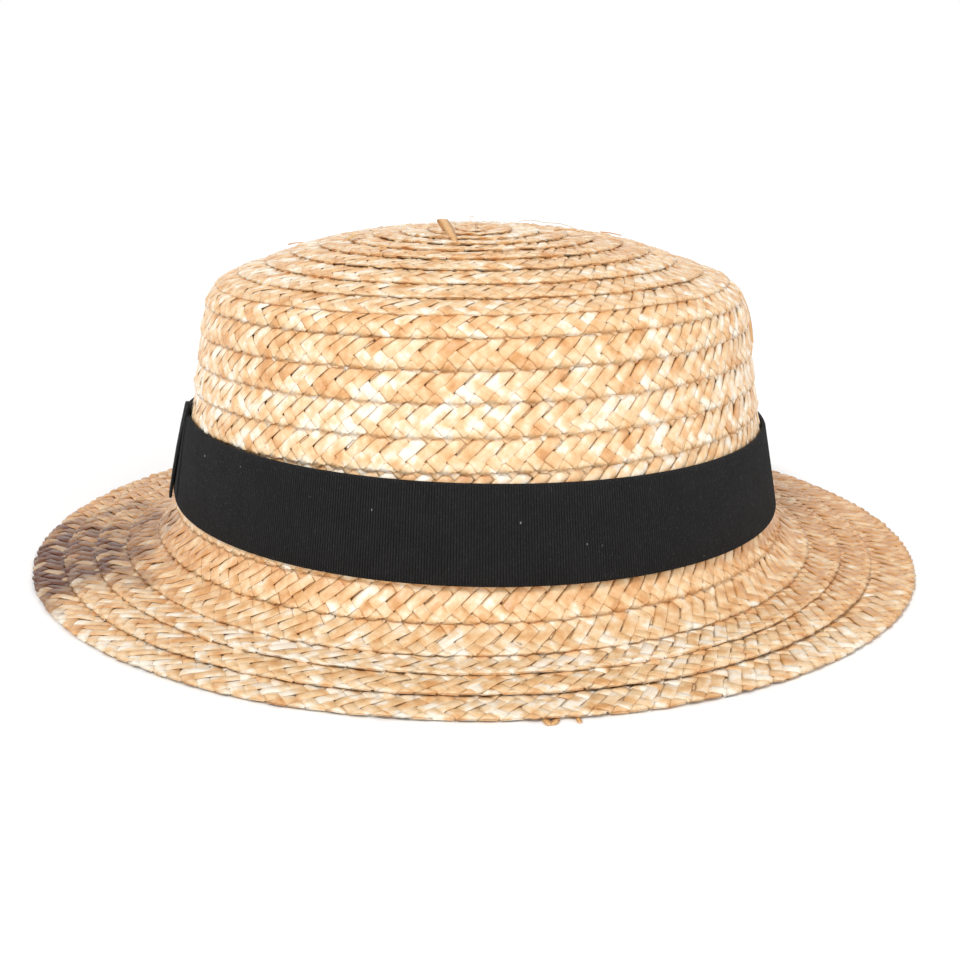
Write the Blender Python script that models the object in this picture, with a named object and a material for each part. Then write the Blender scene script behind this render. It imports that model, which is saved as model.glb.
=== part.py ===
# Straw boater hat: an oval crown and a brim of overlapping plait rows, a ribbon
# band round the crown's foot, and a flat bow on the band's left side.
# Metres, +Z up. The hat rests on its brim's edge at z = 0, its front towards -Y.

import math

import bmesh
import bpy

# Driving dimensions of the straw
CROWN_HALF_WIDTH = 0.0866    # across the straw at the crown's foot, from the middle along X
OVAL_EXTRA = 0.0105          # how much further every oval reaches along Y than along X
CROWN_HEIGHT = 0.0754        # from the crown's foot to the middle of the tip
BRIM_WIDTH = 0.0399          # from the crown's foot out to the brim's edge
BRIM_RISE = 0.0150           # from the top of the brim's edge up to the crown's foot
EDGE_THICKNESS = 0.0014      # the brim's edge, which lies on the table
PLAIT_THICKNESS = 0.0013     # one layer of plait
ROW_STEP = 0.0010            # how far a row's edge stands proud of the next row
EDGE_ROUNDING = 0.0004       # how far the rim's upper and lower corners are drawn in
REST_WIDTH = 0.0055          # flat ring under the brim's edge
TUCK_HEIGHT = 0.0070         # how far the brim's first row reaches up inside the crown

# Driving dimensions of the ribbon
RIBBON_HEIGHT = 0.0232
RIBBON_THICKNESS = 0.0010
RIBBON_SLANT = 0.0014        # the band sits this much lower on the right and higher on the left
BOW_LOOP_REACH = 0.0265      # from the knot's middle to a loop's end
BOW_LOOP_HEIGHT = 0.0270     # a loop at its widest
BOW_LOOP_THICKNESS = 0.0014  # two layers of ribbon pressed flat
BOW_TAIL_REACH = 0.0340      # from the knot's middle to the long corner of a cut end
BOW_TAIL_HEIGHT = 0.0200
BOW_KNOT_REACH = 0.0052      # half of the knot's length along the band
BOW_KNOT_HEIGHT = 0.0200
BOW_RAISE = 0.0035           # the bow's middle above the ribbon's middle

CLEARANCE = 0.0003           # gap between two pieces that touch
SEGMENTS = 56                # sides of every oval
BAND_LEVELS = 5              # ovals up the band
BOW_LEVELS = 4               # points up each column of a bow piece

# The crown's rows from the tip down. Each line is the lower edge of one row:
# its half width as a share of CROWN_HALF_WIDTH, and its height as a share of CROWN_HEIGHT.
CROWN_ROWS = (
    # name, half_width, height
    ("tip_9", 0.045, 0.997),
    ("tip_8", 0.136, 0.995),
    ("tip_7", 0.227, 0.989),
    ("tip_6", 0.318, 0.980),
    ("tip_5", 0.409, 0.968),
    ("tip_4", 0.499, 0.949),
    ("tip_3", 0.587, 0.923),
    ("tip_2", 0.673, 0.889),
    ("tip_1", 0.760, 0.854),
    ("shoulder_2", 0.842, 0.813),
    ("shoulder_1", 0.893, 0.733),
    ("side_6", 0.906, 0.630),
    ("side_5", 0.920, 0.525),
    ("side_4", 0.934, 0.419),
    ("side_3", 0.948, 0.314),
    ("side_2", 0.965, 0.209),
    ("side_1", 0.983, 0.105),
    ("foot", 1.000, 0.000),
)

# The brim's rows from the crown out. Each line is the outer edge of one row:
# its reach as a share of BRIM_WIDTH, and its height as a share of BRIM_RISE.
BRIM_ROWS = (
    # name, reach, height
    ("turn", 0.105, 0.500),
    ("slope", 0.321, 0.210),
    ("flat_1", 0.536, 0.160),
    ("flat_2", 0.749, 0.080),
)

# Half of a bow loop, from the knot out: how far along the band as a share of
# BOW_LOOP_REACH, and how tall as a share of BOW_LOOP_HEIGHT.
BOW_LOOP_SECTIONS = (
    # along, height
    (0.00, 0.56),
    (0.20, 0.62),
    (0.45, 0.84),
    (0.75, 0.98),
    (0.92, 1.00),
    (1.00, 0.90),
)

# Half of a bow tail, from the knot out: how far along the band its lower and its
# upper edge are, as shares of BOW_TAIL_REACH, so the end is cut on a slant.
BOW_TAIL_SECTIONS = (
    # lower_along, upper_along
    (0.00, 0.00),
    (0.30, 0.30),
    (0.60, 0.60),
    (1.00, 0.82),
)


def foot_height():
    return EDGE_THICKNESS + BRIM_RISE


def material(name, colour, roughness):
    shade = bpy.data.materials.new(name)
    shade.use_nodes = True
    shader = shade.node_tree.nodes["Principled BSDF"]
    shader.inputs["Base Color"].default_value = colour
    shader.inputs["Roughness"].default_value = roughness
    shader.inputs["Metallic"].default_value = 0.0
    return shade


def add_part(name, mesh_data, shade, collection):
    """Make one closed piece, with its faces pointing out."""
    mesh = bpy.data.meshes.new(name)
    mesh_data.normal_update()
    bmesh.ops.recalc_face_normals(mesh_data, faces=mesh_data.faces)
    mesh_data.to_mesh(mesh)
    mesh_data.free()
    mesh.materials.append(shade)
    mesh.shade_smooth()
    mesh.set_sharp_from_angle(angle=math.radians(40.0))
    piece = bpy.data.objects.new(name, mesh)
    collection.objects.link(piece)
    return piece


def oval_ring(mesh_data, half_width, height):
    """One level oval, wider along Y than along X by OVAL_EXTRA at each end."""
    ring = []
    for side in range(SEGMENTS):
        turn = 2.0 * math.pi * side / SEGMENTS
        across = half_width * math.cos(turn)
        along = (half_width + OVAL_EXTRA) * math.sin(turn)
        ring.append(mesh_data.verts.new((across, along, height)))
    return ring


def join_rings(mesh_data, first, second):
    count = len(first)
    for side in range(count):
        after = (side + 1) % count
        mesh_data.faces.new((first[side], first[after], second[after], second[side]))


def close_ring(mesh_data, ring, height):
    """Close an oval with a fan to its middle."""
    middle = mesh_data.verts.new((0.0, 0.0, height))
    for side in range(len(ring)):
        after = (side + 1) % len(ring)
        mesh_data.faces.new((ring[side], ring[after], middle))


def outward(before, after):
    """The unit direction out of a profile between two of its points, in half width and height."""
    run = after[0] - before[0]
    fall = before[1] - after[1]
    length = math.hypot(run, fall)
    return fall / length, run / length


def inset(profile, depth):
    """Move a profile's points inwards, square to the profile."""
    moved = []
    for place, here in enumerate(profile):
        before = profile[max(place - 1, 0)]
        after = profile[min(place + 1, len(profile) - 1)]
        out, up = outward(before, after)
        moved.append((here[0] - out * depth, here[1] - up * depth))
    return moved


def crown_edges():
    """Half width and height of each crown row's lower edge, from the tip down."""
    edges = []
    for _name, half_width, height in CROWN_ROWS:
        edges.append((half_width * CROWN_HALF_WIDTH, foot_height() + height * CROWN_HEIGHT))
    return edges


def crown_inside():
    """The inner face of the crown, a point for each row, level with the foot at the foot."""
    wall = ROW_STEP + PLAIT_THICKNESS
    inner = inset(crown_edges(), wall)
    inner[-1] = (CROWN_HALF_WIDTH - wall, foot_height())
    return inner


def half_width_at(profile, height):
    """The half width of a profile that runs from the tip down, at a height on its side."""
    lower = profile[-1]
    upper = profile[-2]
    for place in range(len(profile) - 1, 0, -1):
        lower = profile[place]
        upper = profile[place - 1]
        if height <= upper[1]:
            break
    share = (height - lower[1]) / (upper[1] - lower[1])
    return lower[0] + share * (upper[0] - lower[0])


def make_crown(shade, collection):
    """A thin shell, open at the foot, whose outside steps in under each row's edge."""
    edges = crown_edges()
    under_edges = inset(edges, ROW_STEP)
    mesh_data = bmesh.new()

    # Outside: each row runs from under the row above out to its own edge.
    outside = [oval_ring(mesh_data, *edges[0])]
    for place in range(1, len(edges)):
        outside.append(oval_ring(mesh_data, *under_edges[place - 1]))
        outside.append(oval_ring(mesh_data, *edges[place]))
    inside = [oval_ring(mesh_data, *point) for point in crown_inside()]

    walls = outside + inside[::-1]
    for first, second in zip(walls, walls[1:]):
        join_rings(mesh_data, first, second)
    top = foot_height() + CROWN_HEIGHT
    close_ring(mesh_data, outside[0], top)
    close_ring(mesh_data, inside[0], top - ROW_STEP - PLAIT_THICKNESS)
    return add_part("crown", mesh_data, shade, collection)


def make_brim(shade, collection):
    """One closed section run round the oval: up inside the crown, over the rows and back under."""
    wall = ROW_STEP + PLAIT_THICKNESS
    foot = foot_height()
    tuck = half_width_at(crown_inside(), foot) - CLEARANCE
    tuck_top = half_width_at(crown_inside(), foot + TUCK_HEIGHT) - CLEARANCE
    crest = (CROWN_HALF_WIDTH - ROW_STEP, foot - CLEARANCE - ROW_STEP * 0.5)
    edges = [crest]
    for _name, reach, height in BRIM_ROWS:
        half_width = CROWN_HALF_WIDTH + reach * BRIM_WIDTH
        edges.append((half_width, EDGE_THICKNESS + height * BRIM_RISE))
    rim = CROWN_HALF_WIDTH + BRIM_WIDTH
    edges.append((rim, EDGE_THICKNESS))
    under_edges = inset(edges, ROW_STEP)
    below = inset(edges, wall)

    profile = [(tuck_top, foot + TUCK_HEIGHT), (tuck, foot), (tuck, crest[1]), crest]
    for place in range(1, len(edges) - 1):
        if place > 1:
            profile.append(under_edges[place - 1])
        profile.append(edges[place])
    profile.append(under_edges[-2])
    profile.append((rim - EDGE_ROUNDING, EDGE_THICKNESS))
    profile.append((rim, EDGE_THICKNESS * 0.5))
    profile.append((rim - EDGE_ROUNDING, 0.0))
    profile.append((rim - EDGE_ROUNDING - REST_WIDTH, 0.0))
    for point in below[-2:0:-1]:
        profile.append((point[0], max(point[1], CLEARANCE)))
    profile.append((tuck - PLAIT_THICKNESS, foot - wall))
    profile.append((tuck_top - PLAIT_THICKNESS, foot + TUCK_HEIGHT))

    mesh_data = bmesh.new()
    rings = [oval_ring(mesh_data, *point) for point in profile]
    for first, second in zip(rings, rings[1:] + rings[:1]):
        join_rings(mesh_data, first, second)
    return add_part("brim", mesh_data, shade, collection)


def spread(low, high, count):
    return [low + (high - low) * step / (count - 1) for step in range(count)]


def band_ring(mesh_data, level, proud):
    """An oval round the crown's side, lower at +X and higher at -X by RIBBON_SLANT."""
    ring = []
    for side in range(SEGMENTS):
        turn = 2.0 * math.pi * side / SEGMENTS
        height = level - RIBBON_SLANT * math.cos(turn)
        half_width = half_width_at(crown_edges(), height) + proud
        half_length = half_width + OVAL_EXTRA
        point = (half_width * math.cos(turn), half_length * math.sin(turn), height)
        ring.append(mesh_data.verts.new(point))
    return ring


def make_band(shade, collection):
    """A thin sleeve that lies on the edges of the crown's rows."""
    mesh_data = bmesh.new()
    inner = []
    outer = []
    for level in spread(foot_height(), foot_height() + RIBBON_HEIGHT, BAND_LEVELS):
        inner.append(band_ring(mesh_data, level, CLEARANCE))
        outer.append(band_ring(mesh_data, level, CLEARANCE + RIBBON_THICKNESS))
    rings = inner + outer[::-1]
    for first, second in zip(rings, rings[1:] + rings[:1]):
        join_rings(mesh_data, first, second)
    return add_part("ribbon_band", mesh_data, shade, collection)


def on_band(along, height, proud):
    """A point on the band's left side, `along` it from the bow's middle, `proud` of its face."""
    half_width = half_width_at(crown_edges(), height) + CLEARANCE + RIBBON_THICKNESS + proud
    half_length = half_width + OVAL_EXTRA
    turn = math.pi + along / half_length
    return half_width * math.cos(turn), half_length * math.sin(turn), height


def bow_piece(name, columns, proud, thickness, shade, collection):
    """A flat piece that follows the band: columns of (along, height) pairs, from end to end."""
    mesh_data = bmesh.new()
    back = []
    front = []
    for column in columns:
        back.append([mesh_data.verts.new(on_band(along, height, proud)) for along, height in column])
        outer = proud + thickness
        front.append([mesh_data.verts.new(on_band(along, height, outer)) for along, height in column])
    rows = len(columns[0])
    for left in range(len(columns) - 1):
        right = left + 1
        for low in range(rows - 1):
            high = low + 1
            mesh_data.faces.new((back[left][low], back[right][low], back[right][high], back[left][high]))
            mesh_data.faces.new((front[left][low], front[left][high], front[right][high], front[right][low]))
        for row in (0, rows - 1):
            mesh_data.faces.new((back[left][row], front[left][row], front[right][row], back[right][row]))
    for end in (0, len(columns) - 1):
        for low in range(rows - 1):
            high = low + 1
            mesh_data.faces.new((back[end][low], back[end][high], front[end][high], front[end][low]))
    return add_part(name, mesh_data, shade, collection)


def both_ways(columns):
    """Mirror half a bow piece about the knot, and keep the middle column once."""
    mirrored = []
    for column in reversed(columns[1:]):
        mirrored.append([(-along, height) for along, height in column])
    return mirrored + columns


def make_bow(shade, collection):
    """Tails on the band, loops on the tails and the knot on the loops."""
    band_middle = foot_height() + RIBBON_SLANT + RIBBON_HEIGHT * 0.5
    middle = band_middle + BOW_RAISE
    tail_foot = band_middle - BOW_TAIL_HEIGHT * 0.5

    tail = []
    for lower_along, upper_along in BOW_TAIL_SECTIONS:
        alongs = spread(lower_along * BOW_TAIL_REACH, upper_along * BOW_TAIL_REACH, BOW_LEVELS)
        tail.append(list(zip(alongs, spread(tail_foot, tail_foot + BOW_TAIL_HEIGHT, BOW_LEVELS))))
    proud = CLEARANCE
    bow_piece("bow_tails", both_ways(tail), proud, RIBBON_THICKNESS, shade, collection)

    loop = []
    for along, height in BOW_LOOP_SECTIONS:
        half_height = height * BOW_LOOP_HEIGHT * 0.5
        heights = spread(middle - half_height, middle + half_height, BOW_LEVELS)
        loop.append([(along * BOW_LOOP_REACH, level) for level in heights])
    proud = proud + RIBBON_THICKNESS + CLEARANCE
    bow_piece("bow_loops", both_ways(loop), proud, BOW_LOOP_THICKNESS, shade, collection)

    knot = []
    for along in (0.0, BOW_KNOT_REACH):
        half_height = BOW_KNOT_HEIGHT * 0.5
        heights = spread(middle - half_height, middle + half_height, BOW_LEVELS)
        knot.append([(along, level) for level in heights])
    proud = proud + BOW_LOOP_THICKNESS + CLEARANCE
    bow_piece("bow_knot", both_ways(knot), proud, RIBBON_THICKNESS, shade, collection)


def main():
    for old in list(bpy.data.objects):
        bpy.data.objects.remove(old, do_unlink=True)
    hat = bpy.data.collections.new("straw_boater_hat")
    bpy.context.scene.collection.children.link(hat)
    crown_straw = material("crown_straw", (0.80, 0.56, 0.31, 1.0), 0.45)
    brim_straw = material("brim_straw", (0.78, 0.53, 0.29, 1.0), 0.45)
    band_ribbon = material("band_ribbon", (0.020, 0.020, 0.022, 1.0), 0.75)
    bow_ribbon = material("bow_ribbon", (0.014, 0.014, 0.015, 1.0), 0.75)
    make_crown(crown_straw, hat)
    make_brim(brim_straw, hat)
    make_band(band_ribbon, hat)
    make_bow(bow_ribbon, hat)


main()
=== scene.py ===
# Straw boater hat: the looks. One straw plait is wound from the middle of the tip
# down the crown and out over the brim, straw by straw, and a ribbed black ribbon
# with a flat bow lies round the crown's foot.
# Metres, +Z up, the hat's front towards -Y.

import bisect
import math

import bmesh
import bpy
from mathutils import Matrix, Vector


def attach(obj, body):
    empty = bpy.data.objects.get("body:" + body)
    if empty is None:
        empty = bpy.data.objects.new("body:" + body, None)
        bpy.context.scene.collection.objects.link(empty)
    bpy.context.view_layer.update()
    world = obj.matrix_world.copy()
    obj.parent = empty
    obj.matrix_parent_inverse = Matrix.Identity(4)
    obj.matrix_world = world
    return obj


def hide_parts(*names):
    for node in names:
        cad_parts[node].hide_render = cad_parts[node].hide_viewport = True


MM = 0.001

# The hat's form, as in the part's source
CROWN_HALF_WIDTH = 86.6 * MM
OVAL_EXTRA = 10.5 * MM  # every oval reaches this much further along Y than along X
CROWN_HEIGHT = 75.4 * MM
BRIM_WIDTH = 39.9 * MM
BRIM_RISE = 15.0 * MM
EDGE_THICKNESS = 1.4 * MM
FOOT_HEIGHT = EDGE_THICKNESS + BRIM_RISE

# The plait's rows from the middle of the tip out to the brim's edge. Each line is
# the lower edge of one turn at the hat's front.
CROWN_ROWS = (
    # half width / CROWN_HALF_WIDTH, height / CROWN_HEIGHT
    (-0.046, 0.999),
    (0.045, 0.997),
    (0.136, 0.995),
    (0.227, 0.989),
    (0.318, 0.980),
    (0.409, 0.968),
    (0.499, 0.949),
    (0.587, 0.923),
    (0.673, 0.889),
    (0.760, 0.854),
    (0.842, 0.813),
    (0.884, 0.749),
    (0.903, 0.651),
    (0.917, 0.551),
    (0.931, 0.446),
    (0.945, 0.339),
    (0.962, 0.232),
    (0.982, 0.115),
    (1.000, 0.000),
)
BRIM_ROWS = (
    # reach / BRIM_WIDTH, height / BRIM_RISE
    (0.105, 0.500),
    (0.321, 0.210),
    (0.536, 0.160),
    (0.749, 0.080),
)
# The last turns: the plait's edge moves out to the rim at the back right, and stays there.
RIM_TURNS = (
    # turn, reach / BRIM_WIDTH, height / BRIM_RISE
    (22.25, 0.800, 0.060),
    (22.50, 0.870, 0.035),
    (22.70, 1.000, 0.000),
    (25.00, 1.000, 0.000),
)

# The plait: five flat straws, each laid over two and under two
STRAWS = 5
STRAW_RUN = 30  # folds before a new straw is laid in
PLAIT_WIDTH = 10.8 * MM
PLAIT_DEPTH = 0.45 * MM  # the plait's middle lies this far under the rows' edges
PLAIT_TILT = 0.125  # how steeply a row runs in under the row above
ROW_OVERLAP = 2.0 * MM  # least width hidden under the row above
FOLD_PITCH = 4.6 * MM  # from one fold to the next along the plait's edge
STRAW_FILL = 1.00  # straw width as a share of the room between two folds
STRAW_ARCH = 0.34 * MM  # how far a straw bulges from edge to edge
STRAW_LIFT = 0.26 * MM  # how far a straw rises or dips at a crossing
EDGE_DROP = 0.30 * MM  # how far the plait's folded edges roll in
EDGE_SCALLOP = 0.38 * MM  # how far each fold bulges out of the plait's edge
EDGE_ROLL = 0.12  # the share of the plait's width over which its edges roll in
FOLD_SHIFT = 0.40 * MM  # how far a fold may be moved along the plait
FOLD_SWELL = 0.25  # how much thicker or thinner a fold may be, as a share
FOLD_CRUMPLE = 1.2 * MM  # how deep the straw's small dents go
CRUMPLE_SCALE = 330.0  # how many of those dents a metre
FIRST_FOLD = 3  # the folds before it would crowd the tip's middle
FIRST_TURN = 0.62
LAST_TURN = 23.72
STEPS_PER_TURN = 120
TIP_TURNS = 3.0  # turns near the tip's middle, where the plait has less room
TIP_SPARE = 0.5 * MM  # how far it may reach past the middle there
PLAIT_PIECES = (
    # name, turn where it begins, solid that it stands for
    ("crown_tip_plait", FIRST_TURN, "crown"),
    ("crown_upper_plait", 9.5, "crown"),
    ("crown_lower_plait", 14.0, "crown"),
    ("brim_inner_plait", 18.3, "brim"),
    ("brim_outer_plait", 21.2, "brim"),
)

# The profile is read at even steps of a turn, from the tip's middle out
PROFILE_START = 0.5
PROFILE_STEP = 0.02
SLOPE_STEPS = 6  # how many of them, either way, its slope is read from
SIDE_TOP_ROW = 8  # the first of CROWN_ROWS that belongs to the crown's side

# The ribbon
RIBBON_HEIGHT = 23.2 * MM
RIBBON_THICKNESS = 1.0 * MM
RIBBON_SLANT = 1.4 * MM  # how far it drops on the right and rises on the left
CLEARANCE = 0.3 * MM  # between the ribbon and the crown
RIB_PITCH = 0.68 * MM
RIB_SWELL = 0.03  # how much thicker or thinner a rib may be, as a share
RIBBON_STEPS = 360
BOW_RIBBON_THICKNESS = 0.30 * MM
BOW_GAP = 0.05 * MM  # between the band, the tails and the loops
BOW_LOOP_REACH = 26.5 * MM
BOW_LOOP_HEIGHT = 27.0 * MM
BOW_LOOP_PUFF = 0.15 * MM  # how far a loop's front swells from its back
BOW_LOOP_BEND = 0.10 * MM  # how tight the ribbon turns at a loop's end
BOW_TAIL_REACH = 34.0 * MM
BOW_TAIL_CUT = 0.82  # upper corner's reach as a share of the lower corner's
BOW_TAIL_HEIGHT = 20.0 * MM
BOW_KNOT_REACH = 5.2 * MM
BOW_KNOT_HEIGHT = 20.0 * MM
BOW_KNOT_PUFF = 0.3 * MM  # how far the knot swells over the loops
BOW_KNOT_PINCH = 0.10  # how much narrower the knot's middle is, as a share
BOW_RAISE = 1.2 * MM  # how far the bow's middle is above the band's
BOW_LEAN = 1.2 * MM  # how far the loops' upper edge leans in over the band
BOW_FLARE = 0.2 * MM  # how far the loops' and tails' lower edges stand off
BAND_MIDDLE = FOOT_HEIGHT + RIBBON_SLANT + RIBBON_HEIGHT * 0.5
BOW_MIDDLE = BAND_MIDDLE + BOW_RAISE

# How tall a bow loop is from the knot out
BOW_LOOP_SECTIONS = (
    # along / BOW_LOOP_REACH, height / BOW_LOOP_HEIGHT
    (0.00, 0.50),
    (0.20, 0.60),
    (0.45, 0.84),
    (0.75, 0.98),
    (0.92, 1.00),
    (1.00, 0.96),
)

# Loose bits of straw and sewing thread, each a path of points laid on the hat
LOOSE_STRAWS = (
    # half width, then points: (x, y, lift) in millimetres
    (1.3, ((-8.8, -12.0, -0.4), (-9.6, -15.0, 2.2), (-9.2, -18.0, 3.3),
           (-8.0, -24.0, 2.5), (-6.4, -32.0, 0.9), (-5.2, -38.0, -0.2))),
    (0.9, ((-12.5, -30.0, -0.2), (-9.0, -33.0, 0.9), (-4.0, -34.5, 0.2))),
    (0.9, ((38.0, 30.0, 0.4), (41.0, 33.0, 1.0), (45.0, 35.0, 1.5))),
    (0.8, ((75.5, -6.0, -0.6), (77.5, -8.0, 0.6), (79.0, -10.0, 2.4))),
    (0.7, ((-52.0, 14.0, 0.2), (-55.0, 17.0, 1.0), (-57.0, 22.0, 1.2))),
    (0.9, ((-36.0, -22.0, 0.2), (-33.0, -19.0, 1.0), (-31.0, -14.0, 0.5))),
    (0.7, ((22.0, -6.0, 0.2), (25.0, -8.5, 1.1), (29.0, -9.0, 0.8))),
    (0.9, ((15.2, -134.8, -1.2), (15.8, -136.8, -1.4), (16.2, -138.2, -1.8))),
    (0.8, ((17.8, -134.6, -1.2), (17.5, -136.4, -1.4), (16.8, -138.0, -1.8))),
    (0.6, ((22.2, -134.4, -1.2), (22.4, -136.0, -1.4), (22.6, -137.0, -1.8))),
)
STRAW_THICKNESS = 0.16 * MM
LOOSE_THREADS = (
    # half width, then points: (x, y, lift) in millimetres
    (0.14, ((-1.6, 41.0, 0.2), (-2.2, 41.2, 0.8), (-2.2, 41.4, 1.4),
            (-1.6, 41.5, 1.7), (-1.0, 41.5, 1.5))),
    (0.12, ((13.0, 36.0, 0.4), (17.0, 38.0, 1.2), (21.0, 37.0, 0.8),
            (26.0, 39.0, 1.2), (30.0, 38.0, 0.6))),
)
THREAD_THICKNESS = 0.12 * MM
LOOSE_STEPS = 5  # from one point to the next
LOOSE_END_WIDTH = 0.45  # width at the ends as a share of the middle's
LEAST_HEIGHT = 0.35 * MM  # of anything loose over the table

# The browned patch at the brim's left end
SCORCH_CENTRE = (-0.116, -0.030, 0.0)
SCORCH_REACH = (0.036, 0.054, 0.10)
SCORCH_COLOUR = "5C2A10"

# The camera
CAMERA_BACK = 400.0 * MM
CAMERA_HEIGHT = 120.2 * MM
CAMERA_ASIDE = 1.5 * MM
CAMERA_DOWN = math.radians(14.54)
CAMERA_ROLL = math.radians(0.4)
FOCAL_PIXELS = 1377.0
FRAME_PIXELS = 960.0
SENSOR = 36.0

# The light: large soft lamps far off, from the direction given
CEILING_STRENGTH = 0.60
LAMPS = (
    # name, towards, strength, spread in degrees
    ("key", (-0.45, -0.72, 0.95), 1.38, 10.0),
    ("fill", (0.70, -0.80, 0.45), 0.56, 40.0),
)
TABLE_REACH = 40.0


# Small tools


def colour(code):
    """An sRGB hex colour as linear RGBA."""
    parts = []
    for start in (0, 2, 4):
        value = int(code[start:start + 2], 16) / 255.0
        if value <= 0.04045:
            parts.append(value / 12.92)
        else:
            parts.append(((value + 0.055) / 1.055) ** 2.4)
    return (*parts, 1.0)


def add_node(tree, kind, inputs=None, **settings):
    """Add a node with its settings. Each input is a plain value or another node's socket."""
    made = tree.nodes.new(kind)
    for name, value in settings.items():
        setattr(made, name, value)
    for key, value in (inputs or {}).items():
        socket = made.inputs[key]
        if isinstance(value, bpy.types.NodeSocket):
            tree.links.new(value, socket)
        else:
            socket.default_value = value
    return made


def maths(tree, operation, *values):
    return add_node(tree, "ShaderNodeMath", dict(enumerate(values)), operation=operation).outputs[0]


def vector_maths(tree, operation, inputs):
    return add_node(tree, "ShaderNodeVectorMath", inputs, operation=operation).outputs[0]


def combined(tree, x, y=0.0, z=0.0):
    return add_node(tree, "ShaderNodeCombineXYZ", {0: x, 1: y, 2: z}).outputs[0]


def parted(tree, vector):
    return add_node(tree, "ShaderNodeSeparateXYZ", {0: vector}).outputs


def remapped(tree, value, begin, end, low, high):
    """low where value is begin, high where it is end, and held beyond both."""
    return add_node(tree, "ShaderNodeMapRange", {
        "Value": value, "From Min": begin, "From Max": end, "To Min": low, "To Max": high,
    }).outputs[0]


def noise(tree, place, scale, detail):
    return add_node(tree, "ShaderNodeTexNoise", {
        "Vector": place, "Scale": scale, "Detail": detail,
    }).outputs


def add_object(name, data):
    made = bpy.data.objects.new(name, data)
    bpy.context.scene.collection.objects.link(made)
    return made


# The hat's profile


def turn_knots():
    """(turn, half width, height) of the plait's lower edge, from the tip out."""
    knots = []
    for turn, (width, height) in enumerate(CROWN_ROWS):
        knots.append((turn, width * CROWN_HALF_WIDTH, FOOT_HEIGHT + height * CROWN_HEIGHT))
    for place, (reach, height) in enumerate(BRIM_ROWS):
        turn = len(CROWN_ROWS) + place
        half_width = CROWN_HALF_WIDTH + reach * BRIM_WIDTH
        knots.append((turn, half_width, EDGE_THICKNESS + height * BRIM_RISE))
    for turn, reach, height in RIM_TURNS:
        half_width = CROWN_HALF_WIDTH + reach * BRIM_WIDTH
        knots.append((turn, half_width, EDGE_THICKNESS + height * BRIM_RISE))
    return knots


KNOTS = turn_knots()


def smooth_between(place, share, field):
    """A smooth value between two knots, from the slopes at each."""
    def slope(at):
        low = max(at - 1, 0)
        high = min(at + 1, len(KNOTS) - 1)
        return (KNOTS[high][field] - KNOTS[low][field]) / (KNOTS[high][0] - KNOTS[low][0])

    first = KNOTS[place]
    second = KNOTS[place + 1]
    span = second[0] - first[0]
    square = share * share
    cube = square * share
    return (
        first[field] * (2 * cube - 3 * square + 1)
        + slope(place) * span * (cube - 2 * square + share)
        + second[field] * (3 * square - 2 * cube)
        + slope(place + 1) * span * (cube - square)
    )


def edge_at(turn):
    """Half width and height of the plait's lower edge at a turn."""
    turns = [knot[0] for knot in KNOTS]
    place = min(max(bisect.bisect_right(turns, turn) - 1, 0), len(KNOTS) - 2)
    share = (turn - KNOTS[place][0]) / (KNOTS[place + 1][0] - KNOTS[place][0])
    if turn > RIM_TURNS[-2][0]:
        return KNOTS[-1][1], KNOTS[-1][2]
    return smooth_between(place, share, 1), smooth_between(place, share, 2)


def profile_line():
    """The hat's profile from the tip's middle to the rim: (distance along it, half width, height)."""
    line = []
    travelled = 0.0
    turn = PROFILE_START
    before = None
    while turn <= RIM_TURNS[-2][0] + PROFILE_STEP:
        half_width, height = edge_at(turn)
        half_width = max(half_width, 0.0)
        if before is not None:
            travelled += math.hypot(half_width - before[0], height - before[1])
        line.append((travelled, half_width, height))
        before = (half_width, height)
        turn += PROFILE_STEP
    return line


PROFILE = profile_line()
PROFILE_REACHES = [point[0] for point in PROFILE]


def on_profile(reach):
    """Half width, height and outward direction of the profile at a distance along it."""
    reach = min(max(reach, 0.0), PROFILE_REACHES[-1])
    place = min(max(bisect.bisect_right(PROFILE_REACHES, reach) - 1, 0), len(PROFILE) - 2)
    first = PROFILE[place]
    second = PROFILE[place + 1]
    span = max(second[0] - first[0], 1e-9)
    share = (reach - first[0]) / span
    half_width = first[1] + share * (second[1] - first[1])
    height = first[2] + share * (second[2] - first[2])
    low = PROFILE[max(place - SLOPE_STEPS, 0)]
    high = PROFILE[min(place + 1 + SLOPE_STEPS, len(PROFILE) - 1)]
    run = high[1] - low[1]
    fall = low[2] - high[2]
    length = math.hypot(run, fall)
    return half_width, height, fall / length, run / length


def reach_at(turn):
    """How far along the profile the plait's lower edge is at a turn."""
    step = (turn - PROFILE_START) / PROFILE_STEP
    place = min(max(int(step), 0), len(PROFILE) - 2)
    share = min(step - place, 1.0)
    return PROFILE_REACHES[place] + share * (PROFILE_REACHES[place + 1] - PROFILE_REACHES[place])


def round_oval(half_width, height, angle):
    return Vector((
        half_width * math.cos(angle),
        (half_width + OVAL_EXTRA) * math.sin(angle),
        height,
    ))


def sunk(reach, depth, angle):
    """A point on the profile, `depth` below it, at an angle round the hat."""
    half_width, height, out, up = on_profile(reach)
    return round_oval(max(half_width - out * depth, 0.0), height - up * depth, angle)


# Guides and units


def make_guide(name, stations):
    """A path with what each cross-section needs: (edge, across, bulge, outward) vectors."""
    mesh = bpy.data.meshes.new(name)
    points = [tuple(station[0]) for station in stations]
    edges = [(place, place + 1) for place in range(len(points) - 1)]
    mesh.from_pydata(points, edges, [])
    for field, label in ((1, "across"), (2, "bulge"), (3, "outward")):
        layer = mesh.attributes.new(label, "FLOAT_VECTOR", "POINT")
        for place, station in enumerate(stations):
            layer.data[place].vector = station[field]
    return add_object(name, mesh)


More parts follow.
